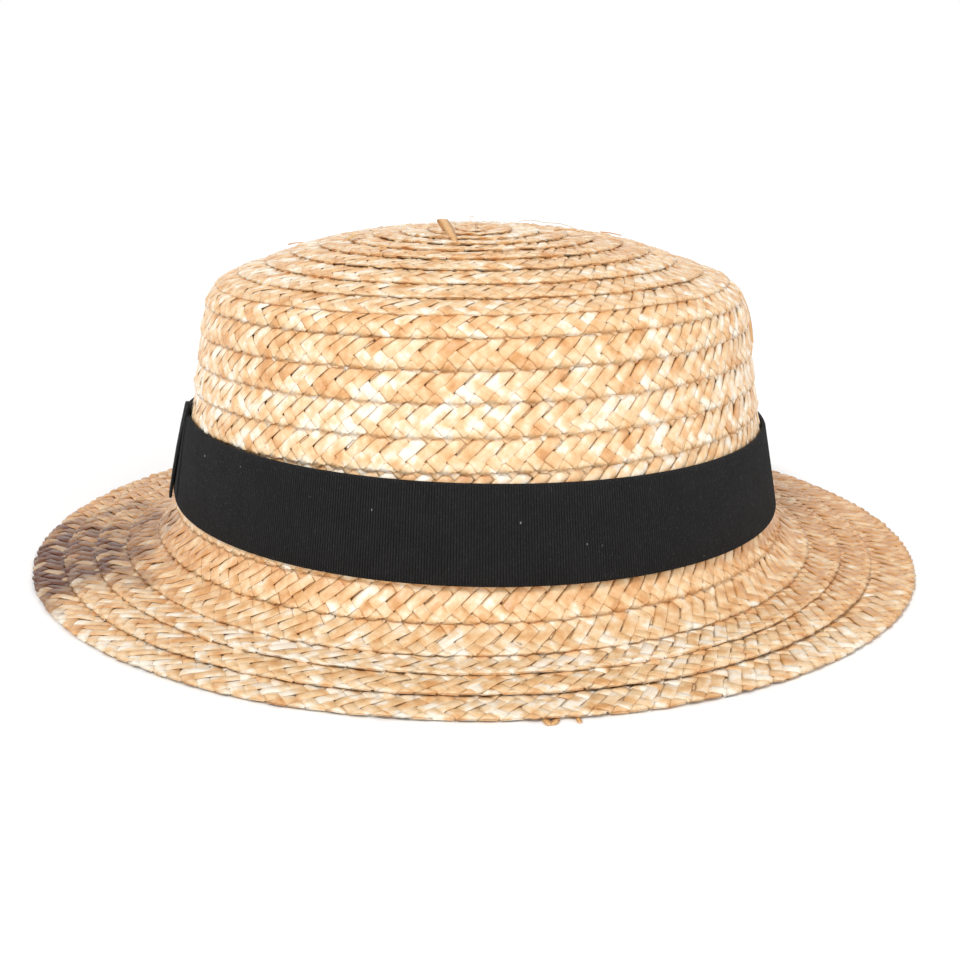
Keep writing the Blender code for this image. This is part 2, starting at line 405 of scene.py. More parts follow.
def path_lengths(stations):
    lengths = [0.0]
    for before, after in zip(stations, stations[1:]):
        lengths.append(lengths[-1] + (after[0] - before[0]).length)
    return lengths


def plait_stations():
    """The plait's lower edge from the tip's middle to its end, clockwise seen from above."""
    stations = []
    count = int((LAST_TURN - FIRST_TURN) * STEPS_PER_TURN) + 1
    for step in range(count):
        turn = FIRST_TURN + step / STEPS_PER_TURN
        angle = -math.pi / 2.0 - 2.0 * math.pi * turn
        reach = reach_at(turn)
        row_above = reach_at(max(turn - 1.0, PROFILE_START))
        width = max(PLAIT_WIDTH, reach - row_above + ROW_OVERLAP)
        if turn < TIP_TURNS:
            width = min(width, reach + TIP_SPARE)
        edge = sunk(reach, PLAIT_DEPTH, angle)
        middle = sunk(reach - width * 0.5, PLAIT_DEPTH + PLAIT_TILT * width * 0.5, angle)
        inner = sunk(reach - width, PLAIT_DEPTH + PLAIT_TILT * width, angle)
        out, up = on_profile(reach - width * 0.4)[2:]
        outward = Vector((out * math.cos(angle), out * math.sin(angle), up))
        across = inner - edge
        bulge = middle - (edge + inner) * 0.5
        stations.append((edge, across, bulge, outward.normalized()))
    return stations


def make_unit(name, section, columns):
    """A closed bar in flat plait space: `columns` gives a (place, width place, height) function
    for each station along it, and `section` the (side, rise) outline of every station."""
    mesh_data = bmesh.new()
    layer = mesh_data.loops.layers.uv.new("straw")
    rings = []
    for column in columns:
        rings.append([mesh_data.verts.new(column(side, rise)) for side, rise in section])
    around = len(section)
    for along in range(len(rings) - 1):
        for corner in range(around):
            after = (corner + 1) % around
            face = mesh_data.faces.new((
                rings[along][corner],
                rings[along + 1][corner],
                rings[along + 1][after],
                rings[along][after],
            ))
            places = (
                (corner, along),
                (corner, along + 1),
                (corner + 1, along + 1),
                (corner + 1, along),
            )
            for loop, (u, v) in zip(face.loops, places):
                loop[layer].uv = (u / around, v / (len(rings) - 1))
            face.smooth = True
    for ring in (rings[0][::-1], rings[-1]):
        face = mesh_data.faces.new(ring)
        for loop in face.loops:
            loop[layer].uv = (0.5, 0.5)
    bmesh.ops.recalc_face_normals(mesh_data, faces=mesh_data.faces)
    mesh = bpy.data.meshes.new(name)
    mesh_data.to_mesh(mesh)
    mesh_data.free()
    return mesh


STRAW_SECTION = (
    # side, rise
    (-0.50, 0.05),
    (-0.44, 0.72),
    (-0.10, 1.00),
    (0.30, 0.92),
    (0.50, 0.10),
)
# A straw's stations, counted in straws crossed from the lower fold, and how it lies
# there: 1 over, -1 under
RISING_ARM = (
    # crossed, lie
    (0.00, 0.50),
    (0.34, 0.90),
    (0.66, -0.70),
    (1.34, -0.70),
    (1.66, 0.75),
    (2.50, 1.00),
    (3.34, 0.75),
    (3.66, -0.70),
    (4.34, -0.70),
    (4.66, 0.90),
    (5.00, 0.50),
)
FALLING_ARM = tuple((crossed, -lie) for crossed, lie in RISING_ARM)


def straw_arm(name, lean, arm):
    """One straw from fold to fold. lean is 1 where it runs on along the plait as it rises."""
    advance = FOLD_PITCH * STRAWS * 0.5
    straw = FOLD_PITCH * STRAW_FILL

    def column(crossed, lie):
        def place(side, rise):
            aside = side * straw
            share = (crossed - lean * aside / FOLD_PITCH) / STRAWS
            if crossed == 0.0:
                share = 0.0
            if crossed == STRAWS:
                share = 1.0
            share = min(max(share, 0.0), 1.0)
            from_edge = min(share, 1.0 - share)
            roll = max(1.0 - from_edge / EDGE_ROLL, 0.0) ** 2
            height = lie * STRAW_LIFT + rise * STRAW_ARCH - roll * EDGE_DROP
            bulge = EDGE_SCALLOP * (1.0 - 4.0 * side * side)
            width_place = share * PLAIT_WIDTH
            if crossed == 0.0:
                width_place -= bulge
            if crossed == STRAWS:
                width_place += bulge
            return (lean * advance * share + aside, width_place, height)
        return place

    return make_unit(name, STRAW_SECTION, [column(crossed, lie) for crossed, lie in arm])


def straw_fold():
    """Two arms of one straw that meet in a fold at the plait's lower edge."""
    left = straw_arm("rising_arm", -1.0, RISING_ARM)
    right = straw_arm("falling_arm", 1.0, FALLING_ARM)
    mesh_data = bmesh.new()
    mesh_data.from_mesh(left)
    rising_faces = len(mesh_data.faces)
    mesh_data.from_mesh(right)
    layer = mesh_data.loops.layers.uv["straw"]
    for place, face in enumerate(mesh_data.faces):
        begin = 0.0 if place < rising_faces else 0.5
        for loop in face.loops:
            loop[layer].uv.y = begin + 0.5 * loop[layer].uv.y
    mesh = bpy.data.meshes.new("straw_fold")
    mesh_data.to_mesh(mesh)
    mesh_data.free()
    return add_object("straw_fold", mesh)


# The winding tree

WINDING_INPUTS = (
    ("Geometry", "NodeSocketGeometry"),
    ("Unit", "NodeSocketObject"),
    ("Count", "NodeSocketInt"),
    ("Pitch", "NodeSocketFloat"),
    ("Start", "NodeSocketFloat"),
    ("Width", "NodeSocketFloat"),
    ("Shift", "NodeSocketFloat"),
    ("Swell", "NodeSocketFloat"),
    ("Crumple", "NodeSocketFloat"),
    ("Strands", "NodeSocketInt"),
    ("Run", "NodeSocketInt"),
    ("Seed", "NodeSocketInt"),
    ("Columns", "NodeSocketInt"),
    ("Material", "NodeSocketMaterial"),
)
SWELL_SEED = 7
SINGLE_SEED = 3
CELL_MARGIN = 0.04


def random_value(tree, identity, seed, low=0.0, high=1.0):
    return add_node(tree, "FunctionNodeRandomValue", {
        2: low, 3: high, "ID": identity, "Seed": seed,
    }, data_type="FLOAT").outputs[1]


def stored(tree, geometry, label, value, kind, domain):
    """The geometry with a value kept on it under a name."""
    return add_node(tree, "GeometryNodeStoreNamedAttribute", {
        "Geometry": geometry, "Name": label, "Value": value,
    }, data_type=kind, domain=domain).outputs[0]


def read_back(tree, label, kind):
    return add_node(tree, "GeometryNodeInputNamedAttribute", {"Name": label}, data_type=kind).outputs[0]


def lined_up(tree, given):
    """Copies of the unit in a line, each moved along it and swollen a little at random."""
    line = add_node(tree, "GeometryNodeMeshLine", {
        "Count": given["Count"],
        "Start Location": combined(tree, given["Start"]),
        "Offset": combined(tree, given["Pitch"]),
    }, mode="OFFSET").outputs[0]
    index = add_node(tree, "GeometryNodeInputIndex").outputs[0]
    backward = maths(tree, "MULTIPLY", given["Shift"], -1.0)
    shift = random_value(tree, index, given["Seed"], backward, given["Shift"])
    moved = add_node(tree, "GeometryNodeSetPosition", {
        "Geometry": line, "Offset": combined(tree, shift),
    }).outputs[0]
    thinnest = maths(tree, "SUBTRACT", 1.0, given["Swell"])
    thickest = maths(tree, "ADD", 1.0, given["Swell"])
    swell = random_value(tree, index, SWELL_SEED, thinnest, thickest)
    unit = add_node(tree, "GeometryNodeObjectInfo", {"Object": given["Unit"]}).outputs["Geometry"]
    return add_node(tree, "GeometryNodeInstanceOnPoints", {
        "Points": moved, "Instance": unit, "Scale": combined(tree, 1.0, 1.0, swell),
    }).outputs[0]


def marked(tree, given, copies):
    """The copies as one mesh, with what the finishes read. tone is one random value for each
    length of straw, which a strand carries for Run folds. single is one for each copy, and
    cell is the copy's number."""
    index = add_node(tree, "GeometryNodeInputIndex").outputs[0]

    def whole(operation, first, second):
        return add_node(tree, "FunctionNodeIntegerMath", {
            0: first, 1: second,
        }, operation=operation).outputs[0]

    strand = whole("MODULO", index, given["Strands"])
    length = whole("DIVIDE_FLOOR", index, given["Run"])
    straw = whole("ADD", strand, whole("MULTIPLY", length, given["Strands"]))
    tone = random_value(tree, straw, given["Seed"])
    single = random_value(tree, index, SINGLE_SEED)
    copies = stored(tree, copies, "tone", tone, "FLOAT", "INSTANCE")
    copies = stored(tree, copies, "single", single, "FLOAT", "INSTANCE")
    copies = stored(tree, copies, "cell", index, "INT", "INSTANCE")
    return add_node(tree, "GeometryNodeRealizeInstances", {"Geometry": copies}).outputs[0]


def mapped(tree, given, flat):
    """The mesh with a map for baking that has a cell of its own for each copy."""
    cell = read_back(tree, "cell", "INT")
    local = parted(tree, read_back(tree, "straw", "FLOAT_VECTOR"))
    rows = maths(tree, "ADD", maths(tree, "DIVIDE", given["Count"], given["Columns"]), 1.0)
    column = maths(tree, "MODULO", cell, given["Columns"])
    row = maths(tree, "FLOOR", maths(tree, "DIVIDE", cell, given["Columns"]))

    def in_cell(place, number, cells):
        within = maths(tree, "MULTIPLY_ADD", place, 1.0 - 2.0 * CELL_MARGIN, CELL_MARGIN)
        return maths(tree, "DIVIDE", maths(tree, "ADD", number, within), cells)

    across = in_cell(local["X"], column, given["Columns"])
    up = in_cell(local["Y"], row, rows)
    return stored(tree, flat, "OFBake", combined(tree, across, up), "FLOAT2", "CORNER")


def bent(tree, given, flat):
    """The mesh bent onto the guide: x runs along it, y across it and z out of it."""
    place = parted(tree, add_node(tree, "GeometryNodeInputPosition").outputs[0])
    curve = add_node(tree, "GeometryNodeMeshToCurve", {"Mesh": given["Geometry"]}).outputs[0]

    def along_guide(label):
        return add_node(tree, "GeometryNodeSampleCurve", {
            "Curves": curve, "Value": read_back(tree, label, "FLOAT_VECTOR"), "Length": place["X"],
        }, mode="LENGTH", use_all_curves=True, data_type="FLOAT_VECTOR").outputs

    def further(target, vector, scale):
        """target and scale times vector."""
        step = vector_maths(tree, "SCALE", {0: vector, "Scale": scale})
        return vector_maths(tree, "ADD", {0: target, 1: step})

    share = maths(tree, "DIVIDE", place["Y"], given["Width"])
    rest = maths(tree, "SUBTRACT", 1.0, share)
    hump = maths(tree, "MULTIPLY", maths(tree, "MULTIPLY", share, rest), 4.0)
    across = along_guide("across")
    target = further(across["Position"], across["Value"], share)
    target = further(target, along_guide("bulge")["Value"], hump)
    target = further(target, along_guide("outward")["Value"], place["Z"])
    dents = noise(tree, target, CRUMPLE_SCALE, 2.0)["Color"]
    dents = vector_maths(tree, "SUBTRACT", {0: dents, 1: (0.5, 0.5, 0.5)})
    target = further(target, dents, given["Crumple"])
    return add_node(tree, "GeometryNodeSetPosition", {"Geometry": flat, "Position": target}).outputs[0]


def winding_tree():
    """Geometry Nodes: line up copies of a unit, then bend them onto a guide path."""
    tree = bpy.data.node_groups.new("wind_on_guide", "GeometryNodeTree")
    for label, kind in WINDING_INPUTS:
        tree.interface.new_socket(label, in_out="INPUT", socket_type=kind)
    tree.interface.new_socket("Geometry", in_out="OUTPUT", socket_type="NodeSocketGeometry")
    given = add_node(tree, "NodeGroupInput").outputs
    flat = mapped(tree, given, marked(tree, given, lined_up(tree, given)))
    finished = add_node(tree, "GeometryNodeSetMaterial", {
        "Geometry": bent(tree, given, flat), "Material": given["Material"],
    }).outputs[0]
    add_node(tree, "NodeGroupOutput", {"Geometry": finished})
    return tree


def wind(name, tree, guide, **given):
    """Run the winding tree on a guide and keep the result as a plain mesh."""
    carrier = add_object(name + "_guide", guide.data)
    modifier = carrier.modifiers.new("wind", "NODES")
    modifier.node_group = tree
    given["Columns"] = int(math.sqrt(given["Count"] * 4.0)) + 1
    for item in tree.interface.items_tree:
        if item.in_out == "INPUT" and item.name in given:
            modifier[item.identifier] = given[item.name]
    graph = bpy.context.evaluated_depsgraph_get()
    mesh = bpy.data.meshes.new_from_object(carrier.evaluated_get(graph), depsgraph=graph)
    mesh.name = name
    bpy.data.objects.remove(carrier)
    return add_object(name, mesh)


# Materials

# The palest colours, near white, are painted highlights: glints on the straw's waxy skin
STRAW_COLOURS = (
    # place on the ramp, colour
    (0.08, "D49A60"),
    (0.28, "E3B07A"),
    (0.50, "EEC898"),
    (0.70, "F6DBB6"),
    (0.82, "FBEDD8"),
    (0.95, "FFF6E6"),
)
# How far each thing moves a straw along that ramp
RAMP_START = -0.69
TONE_SHARE = 0.44
SINGLE_SHARE = 0.18
PATCH_AND_GLINT_SHARE = 1.80
BACK_SHADE_SHARE = -0.34


def new_material(name):
    """A material with its node tree, its shader and its place in the object's own axes."""
    made = bpy.data.materials.new(name)
    made.use_nodes = True
    tree = made.node_tree
    place = add_node(tree, "ShaderNodeTexCoord").outputs["Object"]
    return made, tree, tree.nodes["Principled BSDF"], place


def blended(tree, share, below, above):
    """A colour between two others, each given as a hex code or a socket."""
    below, above = (colour(part) if isinstance(part, str) else part for part in (below, above))
    return add_node(tree, "ShaderNodeMix", {0: share, 6: below, 7: above}, data_type="RGBA").outputs[2]


def finish_surface(tree, shader, tint, roughness, specular=0.5):
    tree.links.new(tint, shader.inputs["Base Color"])
    shader.inputs["Roughness"].default_value = roughness
    shader.inputs["Specular IOR Level"].default_value = specular


def roughen(tree, shader, height, strength, distance):
    bump = add_node(tree, "ShaderNodeBump", {
        "Height": height, "Strength": strength, "Distance": distance,
    }).outputs[0]
    tree.links.new(bump, shader.inputs["Normal"])


def scorch(tree, place, tone):
    """How far the straw is browned: a blotchy patch on the brim's left end, with some straws spared."""
    placed = add_node(tree, "ShaderNodeMapping", {
        "Vector": place,
        "Location": tuple(-centre / reach for centre, reach in zip(SCORCH_CENTRE, SCORCH_REACH)),
        "Scale": tuple(1.0 / reach for reach in SCORCH_REACH),
    }).outputs[0]
    away = add_node(tree, "ShaderNodeVectorMath", {0: placed}, operation="LENGTH").outputs["Value"]
    blotches = noise(tree, place, scale=85.0, detail=5.0)["Fac"]
    ragged = maths(tree, "MULTIPLY_ADD", blotches, 1.5, away)
    patch = remapped(tree, ragged, begin=1.15, end=1.75, low=0.97, high=0.0)
    spared = remapped(tree, tone, begin=0.55, end=0.9, low=1.0, high=0.45)
    return maths(tree, "MULTIPLY", patch, spared)


def painted_back_shade(tree, place):
    """Painted shade: how far the brim's sides and back are coloured darker than its front, standing for
    the shade they lie in.
    """
    return remapped(tree, parted(tree, place)["Y"], begin=-0.105, end=-0.015, low=-0.25, high=1.0)


def plaited_straw(name, scorched_and_shaded=False):
    """Bleached wheat straw, split, flattened and plaited: pale gold, with a hard waxy skin that glints,
    near-white painted highlights, fine fibres along each straw and a warmer brown painted shade
    along each straw's edge where it dives under the next."""
    made, tree, shader, place = new_material(name)
    tone = add_node(tree, "ShaderNodeAttribute", attribute_name="tone").outputs["Fac"]
    single = add_node(tree, "ShaderNodeAttribute", attribute_name="single").outputs["Fac"]

    # Straws differ from one another, and each has paler and warmer patches a few millimetres long; the
    # palest go near white, painted highlights for glints on the waxy skin
    patches_and_glints = noise(tree, place, scale=260.0, detail=3.0)["Fac"]
    value = maths(tree, "MULTIPLY_ADD", patches_and_glints, PATCH_AND_GLINT_SHARE, RAMP_START)
    value = maths(tree, "MULTIPLY_ADD", single, SINGLE_SHARE, value)
    value = maths(tree, "MULTIPLY_ADD", tone, TONE_SHARE, value)
    # The brim: painted shade, its sides and back coloured darker than its front
    if scorched_and_shaded:
        value = maths(tree, "MULTIPLY_ADD", painted_back_shade(tree, place), BACK_SHADE_SHARE, value)
    ramp = add_node(tree, "ShaderNodeValToRGB", {"Fac": value})
    stops = ramp.color_ramp.elements
    for stop, (position, code) in ((stops[0], STRAW_COLOURS[0]), (stops[1], STRAW_COLOURS[-1])):
        stop.position = position
        stop.color = colour(code)
    for position, code in STRAW_COLOURS[1:-1]:
        stops.new(position).color = colour(code)

    # Fibres run along each straw: u of the straw map is round it and v along it
    straw_map = parted(tree, add_node(tree, "ShaderNodeUVMap", uv_map="straw").outputs[0])
    fibre_place = combined(
        tree,
        maths(tree, "MULTIPLY", straw_map["X"], 90.0),
        maths(tree, "MULTIPLY", straw_map["Y"], 5.0),
        maths(tree, "MULTIPLY", single, 40.0),
    )
    fibres = noise(tree, fibre_place, scale=1.0, detail=2.0)["Fac"]
    dark_fibres = remapped(tree, fibres, begin=0.30, end=0.55, low=0.30, high=0.0)
    skin = blended(tree, dark_fibres, ramp.outputs["Color"], "D3A068")

    # Painted shade: a warmer brown along one edge of each straw, where one dives under the next
    edge = remapped(tree, straw_map["X"], begin=0.0, end=0.10, low=0.60, high=0.0)
    skin = blended(tree, edge, skin, "B47C48")
    if scorched_and_shaded:
        skin = blended(tree, scorch(tree, place, tone), skin, SCORCH_COLOUR)
    finish_surface(tree, shader, skin, roughness=0.27, specular=0.6)
    roughen(tree, shader, fibres, strength=0.35, distance=0.15 * MM)
    return made


def grosgrain(name, code):
    """Black grosgrain: matt viscose woven over thick ribs, a little greyer in fine flecks, painted
    sheen where the light catches the threads, with a few specks of pale lint."""
    made, tree, shader, place = new_material(name)
    wear = noise(tree, place, scale=140.0, detail=4.0)["Fac"]
    cloth = blended(tree, wear, code, "202021")
    threads = noise(tree, place, scale=2600.0, detail=2.0)["Fac"]
    # Painted sheen: fine greyer flecks where light would catch the threads
    painted_thread_sheen = remapped(tree, threads, begin=0.56, end=0.70, low=0.0, high=0.7)
    cloth = blended(tree, painted_thread_sheen, cloth, "38383A")
    specks = add_node(tree, "ShaderNodeTexVoronoi", {"Vector": place, "Scale": 260.0}).outputs
    near = maths(tree, "LESS_THAN", specks["Distance"], 0.065)
    chosen = maths(tree, "GREATER_THAN", parted(tree, specks["Color"])["X"], 0.80)
    lint = maths(tree, "MULTIPLY", near, chosen)
    finish_surface(tree, shader, blended(tree, lint, cloth, "9A9A98"), roughness=0.85, specular=0.25)
    roughen(tree, shader, threads, strength=0.5, distance=0.06 * MM)
    return made


def loose_straw(name):
    """The same straw where its end has come out: duller inside, orange where it was wetted."""
    made, tree, shader, place = new_material(name)
    grain = noise(tree, place, scale=900.0, detail=3.0)["Fac"]
    finish_surface(tree, shader, blended(tree, grain, "D2924F", "EEC68F"), roughness=0.5)
    return made


def sewing_thread(name):
    """Unbleached cotton thread: matt, with a fine uneven twist."""
    made, tree, shader, place = new_material(name)
    twist = noise(tree, place, scale=2500.0, detail=2.0)["Fac"]
    finish_surface(tree, shader, blended(tree, twist, "C9B8A0", "F2E9DA"), roughness=0.9)
    return made


# Pieces


def dress(piece, slot, *nodes):
    """Fix a finished piece to the hat and hide the solids it stands for. slot is not used."""
    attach(piece, "root")
    if nodes:
        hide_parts(*nodes)


def make_plait(tree):
    stations = plait_stations()
    lengths = path_lengths(stations)
    guide = make_guide("plait_guide", stations)
    unit = straw_fold()
    finishes = {
        "crown": plaited_straw("plaited_straw_crown"),
        "brim": plaited_straw("plaited_straw_brim", scorched_and_shaded=True),
    }
    cuts = [FIRST_FOLD]
    for _name, turn, _node in PLAIT_PIECES[1:]:
        step = int((turn - FIRST_TURN) * STEPS_PER_TURN)
        cuts.append(int(lengths[step] / FOLD_PITCH))
    cuts.append(int(lengths[-1] / FOLD_PITCH) - STRAWS)
    for place, (name, _turn, node) in enumerate(PLAIT_PIECES):
        piece = wind(
            name, tree, guide,
            Unit=unit,
            Count=cuts[place + 1] - cuts[place],
            Pitch=FOLD_PITCH,
            Start=cuts[place] * FOLD_PITCH,
            Width=PLAIT_WIDTH,
            Shift=FOLD_SHIFT,
            Swell=FOLD_SWELL,
            Crumple=FOLD_CRUMPLE,
            Strands=STRAWS,
            Run=STRAW_RUN,
            Seed=place + 1,
            Material=finishes[node],
        )
        dress(piece, node + "_straw", node)
    bpy.data.objects.remove(guide)
    bpy.data.objects.remove(unit)


def side_half_width(height):
    """Half width of the crown's side, straight from row edge to row edge, at a height."""
    edges = [(KNOTS[place][1], KNOTS[place][2]) for place in range(SIDE_TOP_ROW, len(CROWN_ROWS))]
    for upper, lower in zip(edges[-2::-1], edges[:0:-1]):
        if height <= upper[1]:
            break
    share = (height - lower[1]) / (upper[1] - lower[1])
    return lower[0] + share * (upper[0] - lower[0])


def band_stations():
    """Round the crown's foot, lower on the right and higher on the left."""
    stations = []
    for step in range(RIBBON_STEPS + 1):
        angle = 2.0 * math.pi * step / RIBBON_STEPS
        low = FOOT_HEIGHT - RIBBON_SLANT * math.cos(angle)
        points = []
        for share in (0.0, 0.5, 1.0):
            height = low + share * RIBBON_HEIGHT
            points.append(round_oval(side_half_width(height) + CLEARANCE, height, angle))
        across = points[2] - points[0]
        bulge = points[1] - (points[0] + points[2]) * 0.5
        outward = Vector((math.cos(angle), math.sin(angle), 0.0))
        stations.append((points[0], across, bulge, outward))
    return stations


RIB_SECTION = (
    # side, rise
    (-0.50, 0.00),
    (-0.50, 0.70),
    (-0.20, 1.00),
    (0.20, 1.00),
    (0.50, 0.70),
    (0.50, 0.00),
)
RIB_LEVELS = (
    # share of the ribbon's height, share of the rib's thickness
    (-0.008, 0.35),
    (0.000, 0.80),
    (0.020, 1.00),
    (0.250, 1.00),
    (0.500, 1.00),
    (0.750, 1.00),
    (0.980, 1.00),
    (1.000, 0.80),
    (1.008, 0.35),
)


def rib_unit(name, pitch, height, thickness):
    """One rib of the ribbon from edge to edge, drawn in at both ends as a woven edge is."""
    def column(share, rise_share):
        def place(side, rise):
            return (side * pitch, share * height, rise * thickness * rise_share)
        return place

    mesh = make_unit(name, RIB_SECTION, [column(share, rise) for share, rise in RIB_LEVELS])
    return add_object(name, mesh)


def wind_ribbon(name, tree, stations, height, thickness, finish, seed):
    """A length of ribbon wound along a guide, rib by rib."""
    length = path_lengths(stations)[-1]
    count = max(int(length / RIB_PITCH), 1)
    pitch = length / count
    guide = make_guide(name + "_guide", stations)
    unit = rib_unit(name + "_rib", pitch, height, thickness)
    piece = wind(
        name, tree, guide,
        Unit=unit,
        Count=count,
        Pitch=pitch,
        Start=pitch * 0.5,
        Width=height,
        Shift=0.0,
        Swell=RIB_SWELL,
        Crumple=0.0,
        Strands=1,
        Run=1,
        Seed=seed,
        Material=finish,
    )
    bpy.data.objects.remove(guide)
    bpy.data.objects.remove(unit)
    return piece


def make_ribbon(tree):
    finish = grosgrain("black_grosgrain", "121213")
    stations = band_stations()
    band = wind_ribbon("ribbon", tree, stations, RIBBON_HEIGHT, RIBBON_THICKNESS, finish, seed=11)
    dress(band, "ribbon", "ribbon_band")


def on_band(along, height, proud):
    """A point on the band's left side, `along` it from the bow's middle, `proud` of its face."""
    half_width = side_half_width(height) + CLEARANCE + RIBBON_THICKNESS + proud
    angle = math.pi + along / (half_width + OVAL_EXTRA)
    return round_oval(half_width, height, angle)


def between(table, place):
    """A value read from a table of (place, value) lines, straight between them."""
    for (low, first), (high, second) in zip(table, table[1:]):
        if place <= high:
            return first + (second - first) * (place - low) / (high - low)
    return table[-1][1]


def strip_stations(path, facing, lean, flare):
    """A ribbon stood on edge along the band. path gives (along, low, high, proud) points, and
    facing is 1 where the ribbon's ribbed side looks away from the hat. Towards its ends the upper
    edge leans in by lean and the lower edge stands off by flare."""
    reach = max(abs(along) for along, _low, _high, _proud in path)
    stations = []
    for place, (along, low, high, proud) in enumerate(path):
        before = path[max(place - 1, 0)]
        after = path[min(place + 1, len(path) - 1)]
        run = after[0] - before[0]
        rise = after[3] - before[3]
        length = math.hypot(run, rise)
        share = abs(along) / reach
        foot = on_band(along, low, proud + flare * share)
        head = on_band(along, high, proud - lean * share)
        middle = on_band(along, (low + high) * 0.5, proud)
        aside = (on_band(along + MM, low, proud) - on_band(along, low, proud)).normalized()
        away = (on_band(along, low, proud + MM) - on_band(along, low, proud)).normalized()
        outward = ((away * run - aside * rise) * (facing / length)).normalized()
        stations.append((foot, head - foot, middle - (foot + head) * 0.5, outward))
    return stations


def tail_path(side):
    """Along the band from the bow's middle to the tail's slanting cut."""
    path = []
    bottom = BAND_MIDDLE - BOW_TAIL_HEIGHT * 0.5
    upper_reach = BOW_TAIL_REACH * BOW_TAIL_CUT
    steps = 60
    for step in range(steps + 1):
        along = BOW_TAIL_REACH * step / steps
        share = min(1.0, (BOW_TAIL_REACH - along) / (BOW_TAIL_REACH - upper_reach))
        top = bottom + BOW_TAIL_HEIGHT * max(share, 0.03)
        path.append((side * along, bottom, top, BOW_GAP))
    return path


def loop_path(side):
    """Out along the back of a loop, round its end and back along its front, on its inner face."""
    back = BOW_GAP * 2.0 + BOW_RIBBON_THICKNESS * 2.0
    path = []
    steps = 48
    bend_steps = 8
    turn_at = BOW_LOOP_REACH - BOW_LOOP_BEND - BOW_RIBBON_THICKNESS
    for step in range(steps + 1):
        path.append((turn_at * step / steps, back))
    for step in range(1, bend_steps):
        angle = math.pi * step / bend_steps
        along = turn_at + BOW_LOOP_BEND * math.sin(angle)
        path.append((along, back + BOW_LOOP_BEND * (1.0 - math.cos(angle))))
    for step in range(steps, -1, -1):
        share = step / steps
        puff = BOW_LOOP_PUFF * math.sin(math.pi * share) ** 0.8 if 0.0 < share < 1.0 else 0.0
        path.append((turn_at * share, back + 2.0 * BOW_LOOP_BEND + puff))
    strip = []
    for along, proud in path:
        half = between(BOW_LOOP_SECTIONS, along / BOW_LOOP_REACH) * BOW_LOOP_HEIGHT * 0.5
        strip.append((side * along, BOW_MIDDLE - half, BOW_MIDDLE + half, proud))
    return strip


def knot_stations():
    """Round the bow's middle: up behind it, over its front and down behind again."""
    half = BOW_KNOT_HEIGHT * 0.5
    inner = BOW_GAP
    outer = (BOW_GAP + BOW_RIBBON_THICKNESS) * 3.0 + BOW_LOOP_PUFF + BOW_KNOT_PUFF
    path = []
    steps = 40
    for step in range(steps + 1):
        turned = math.pi * (step / steps - 0.5)
        share = math.sin(turned)
        swell = math.cos(turned) ** 0.5 if 0 < step < steps else 0.0
        path.append((BOW_MIDDLE + half * share, inner + (outer - inner) * swell))
    stations = []
    for place, (height, proud) in enumerate(path):
        before = path[max(place - 1, 0)]
        after = path[min(place + 1, len(path) - 1)]
        pinch = BOW_KNOT_PINCH * math.cos((height - BOW_MIDDLE) / half * math.pi * 0.5)
        reach = BOW_KNOT_REACH * (1.0 - pinch)
        left = on_band(reach, height, proud)
        right = on_band(-reach, height, proud)
        middle = on_band(0.0, height, proud)
        outward = Vector((-(after[0] - before[0]), 0.0, after[1] - before[1])).normalized()
        stations.append((left, right - left, middle - (left + right) * 0.5, outward))
    return stations


def joined(name, pieces, finish):
    """Make one piece of several."""
    mesh_data = bmesh.new()
    starts = []
    for piece in pieces:
        starts.append(len(mesh_data.faces))
        mesh_data.from_mesh(piece.data)
        bpy.data.objects.remove(piece)
    layer = mesh_data.loops.layers.uv["OFBake"]
    for place, face in enumerate(mesh_data.faces):
        face.material_index = 0
        share = bisect.bisect_right(starts, place) - 1
        for loop in face.loops:
            loop[layer].uv.x = (share + loop[layer].uv.x) / len(pieces)
    mesh = bpy.data.meshes.new(name)
    mesh_data.to_mesh(mesh)
    mesh_data.free()
    mesh.materials.append(finish)
    return add_object(name, mesh)


def make_bow(tree):
    """Two tails, two loops over them and a knot round their middle."""
    # The bow is the band's ribbon in a darker black: painted shade, as the bow lies in shadow on the
    # hat's left side
    finish = grosgrain("black_grosgrain_bow_shaded", "0C0C0D")

    def length(name, stations, height, seed):
        return wind_ribbon(name, tree, stations, height, BOW_RIBBON_THICKNESS, finish, seed)

    tails = []
    loops = []
    for side in (1.0, -1.0):
        tail = strip_stations(tail_path(side), side, 0.0, BOW_FLARE * 0.7)
        tails.append(length("tail", tail, BOW_TAIL_HEIGHT, seed=21))
        loop = strip_stations(loop_path(side), -side, BOW_LEAN, BOW_FLARE)
        loops.append(length("loop", loop, BOW_LOOP_HEIGHT, seed=22))
    dress(joined("tails", tails, finish), "bow", "bow_tails")
    dress(joined("loops", loops, finish), "bow", "bow_loops")
    knot = length("knot", knot_stations(), 2.0 * BOW_KNOT_REACH, seed=23)
    dress(knot, "bow", "bow_knot")


# Loose ends


def on_hat(x, y, lift):
    """The point over (x, y) on the straw, `lift` above it."""
    low = 0.0
    high = PROFILE_REACHES[-1]
    for _halving in range(40):
        reach = (low + high) * 0.5
        half_width = on_profile(reach)[0]
        inside = math.hypot(x / max(half_width, 1e-6), y / (half_width + OVAL_EXTRA)) < 1.0
        if inside:
            high = reach
        else:
            low = reach
    height = on_profile(reach)[1]
    return Vector((x, y, max(height + lift, LEAST_HEIGHT)))


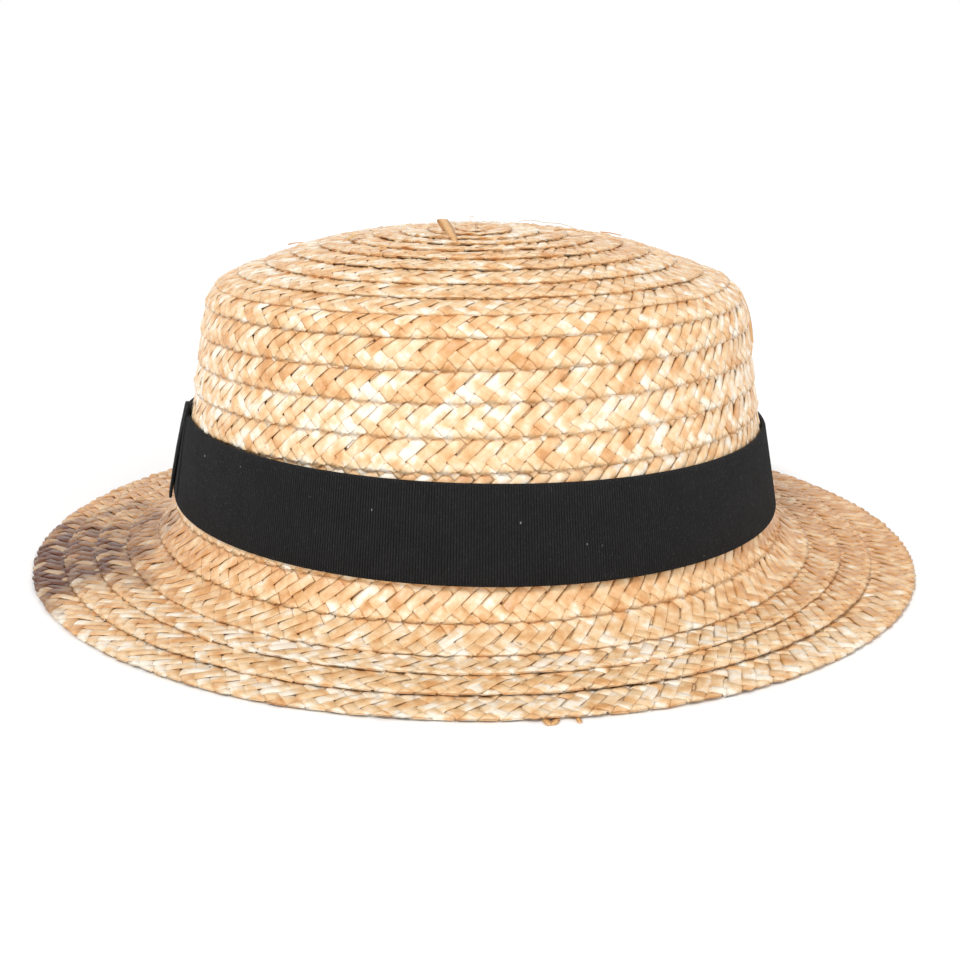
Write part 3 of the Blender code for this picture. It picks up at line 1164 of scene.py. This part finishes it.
def lay_strip(mesh_data, half_width, points, thickness):
    """A thin closed strip through a few points, drawn smooth and tapered at its ends."""
    places = [on_hat(x * MM, y * MM, lift * MM) for x, y, lift in points]
    line = []
    for place in range(len(places) - 1):
        first = places[max(place - 1, 0)]
        second = places[place]
        third = places[place + 1]
        fourth = places[min(place + 2, len(places) - 1)]
        for step in range(LOOSE_STEPS):
            share = step / LOOSE_STEPS
            line.append(0.5 * (
                2.0 * second + (third - first) * share
                + (2.0 * first - 5.0 * second + 4.0 * third - fourth) * share ** 2
                + (3.0 * second - first - 3.0 * third + fourth) * share ** 3
            ))
    line.append(places[-1])
    rings = []
    for place, here in enumerate(line):
        ahead = line[min(place + 1, len(line) - 1)] - line[max(place - 1, 0)]
        aside = ahead.cross(Vector((0.0, 0.0, 1.0))).normalized()
        over = aside.cross(ahead).normalized()
        from_end = min(place, len(line) - 1 - place) / (len(line) * 0.5)
        widening = min(from_end * 2.0, 1.0)
        aside *= half_width * MM * (LOOSE_END_WIDTH + (1.0 - LOOSE_END_WIDTH) * widening)
        over *= thickness
        corners = (here - aside, here + over, here + aside, here - over)
        rings.append([mesh_data.verts.new(corner) for corner in corners])
    for first, second in zip(rings, rings[1:]):
        for corner in range(4):
            after = (corner + 1) % 4
            face = mesh_data.faces.new((first[corner], second[corner], second[after], first[after]))
            face.smooth = True
    mesh_data.faces.new(rings[0][::-1])
    mesh_data.faces.new(rings[-1])


def make_loose_ends():
    for name, table, thickness, finish in (
        ("loose_straw_ends", LOOSE_STRAWS, STRAW_THICKNESS, loose_straw("cut_straw")),
        ("loose_threads", LOOSE_THREADS, THREAD_THICKNESS, sewing_thread("cotton_thread")),
    ):
        mesh_data = bmesh.new()
        for half_width, points in table:
            lay_strip(mesh_data, half_width, points, thickness)
        bmesh.ops.recalc_face_normals(mesh_data, faces=mesh_data.faces)
        mesh = bpy.data.meshes.new(name)
        mesh_data.to_mesh(mesh)
        mesh_data.free()
        mesh.materials.append(finish)
        dress(add_object(name, mesh), "crown_straw")


# Stage


def make_stage():
    """A pale table and soft studio light."""
    mesh = bpy.data.meshes.new("table")
    signs = ((-1.0, -1.0), (1.0, -1.0), (1.0, 1.0), (-1.0, 1.0))
    corners = [(TABLE_REACH * x, TABLE_REACH * y, 0.0) for x, y in signs]
    mesh.from_pydata(corners, [], [(0, 1, 2, 3)])
    table = add_object("table", mesh)
    finish = bpy.data.materials.new("pale_studio_card")
    finish.use_nodes = True
    shader = finish.node_tree.nodes["Principled BSDF"]
    shader.inputs["Base Color"].default_value = colour("FFFFFF")
    shader.inputs["Roughness"].default_value = 0.9
    mesh.materials.append(finish)

    # A white backdrop low down, and a dimmer ceiling over it
    world = bpy.data.worlds.new("studio")
    world.use_nodes = True
    sky = world.node_tree
    towards = add_node(sky, "ShaderNodeTexCoord").outputs["Generated"]
    up = parted(sky, towards)["Z"]
    strength = remapped(sky, up, begin=0.35, end=0.75, low=1.0, high=CEILING_STRENGTH)
    sky.links.new(strength, sky.nodes["Background"].inputs["Strength"])
    sky.nodes["Background"].inputs["Color"].default_value = (1.0, 1.0, 1.0, 1.0)
    scene = bpy.context.scene
    scene.world = world
    scene.view_settings.view_transform = "Standard"

    for name, place, strength, spread in LAMPS:
        light = bpy.data.lights.new(name, "SUN")
        light.energy = strength
        light.angle = math.radians(spread)
        lamp = add_object(name, light)
        lamp.matrix_world = Vector(place).to_track_quat("Z", "Y").to_matrix().to_4x4()


def make_camera():
    data = bpy.data.cameras.new("camera")
    data.sensor_width = SENSOR
    data.lens = FOCAL_PIXELS / FRAME_PIXELS * SENSOR
    data.clip_start = 0.01
    camera = add_object("camera", data)
    camera.matrix_world = (
        Matrix.Translation((CAMERA_ASIDE, -CAMERA_BACK, CAMERA_HEIGHT))
        @ Matrix.Rotation(math.pi / 2.0 - CAMERA_DOWN, 4, "X")
        @ Matrix.Rotation(CAMERA_ROLL, 4, "Z")
    )
    bpy.context.scene.camera = camera


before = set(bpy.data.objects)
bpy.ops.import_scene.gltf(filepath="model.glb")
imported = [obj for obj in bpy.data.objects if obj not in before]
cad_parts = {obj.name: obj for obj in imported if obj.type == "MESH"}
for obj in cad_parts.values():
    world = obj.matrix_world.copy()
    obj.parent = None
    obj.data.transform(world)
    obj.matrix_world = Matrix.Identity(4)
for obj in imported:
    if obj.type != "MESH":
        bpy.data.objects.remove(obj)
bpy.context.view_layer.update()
winding = winding_tree()
make_plait(winding)
make_ribbon(winding)
make_bow(winding)
make_loose_ends()
make_stage()
make_camera()
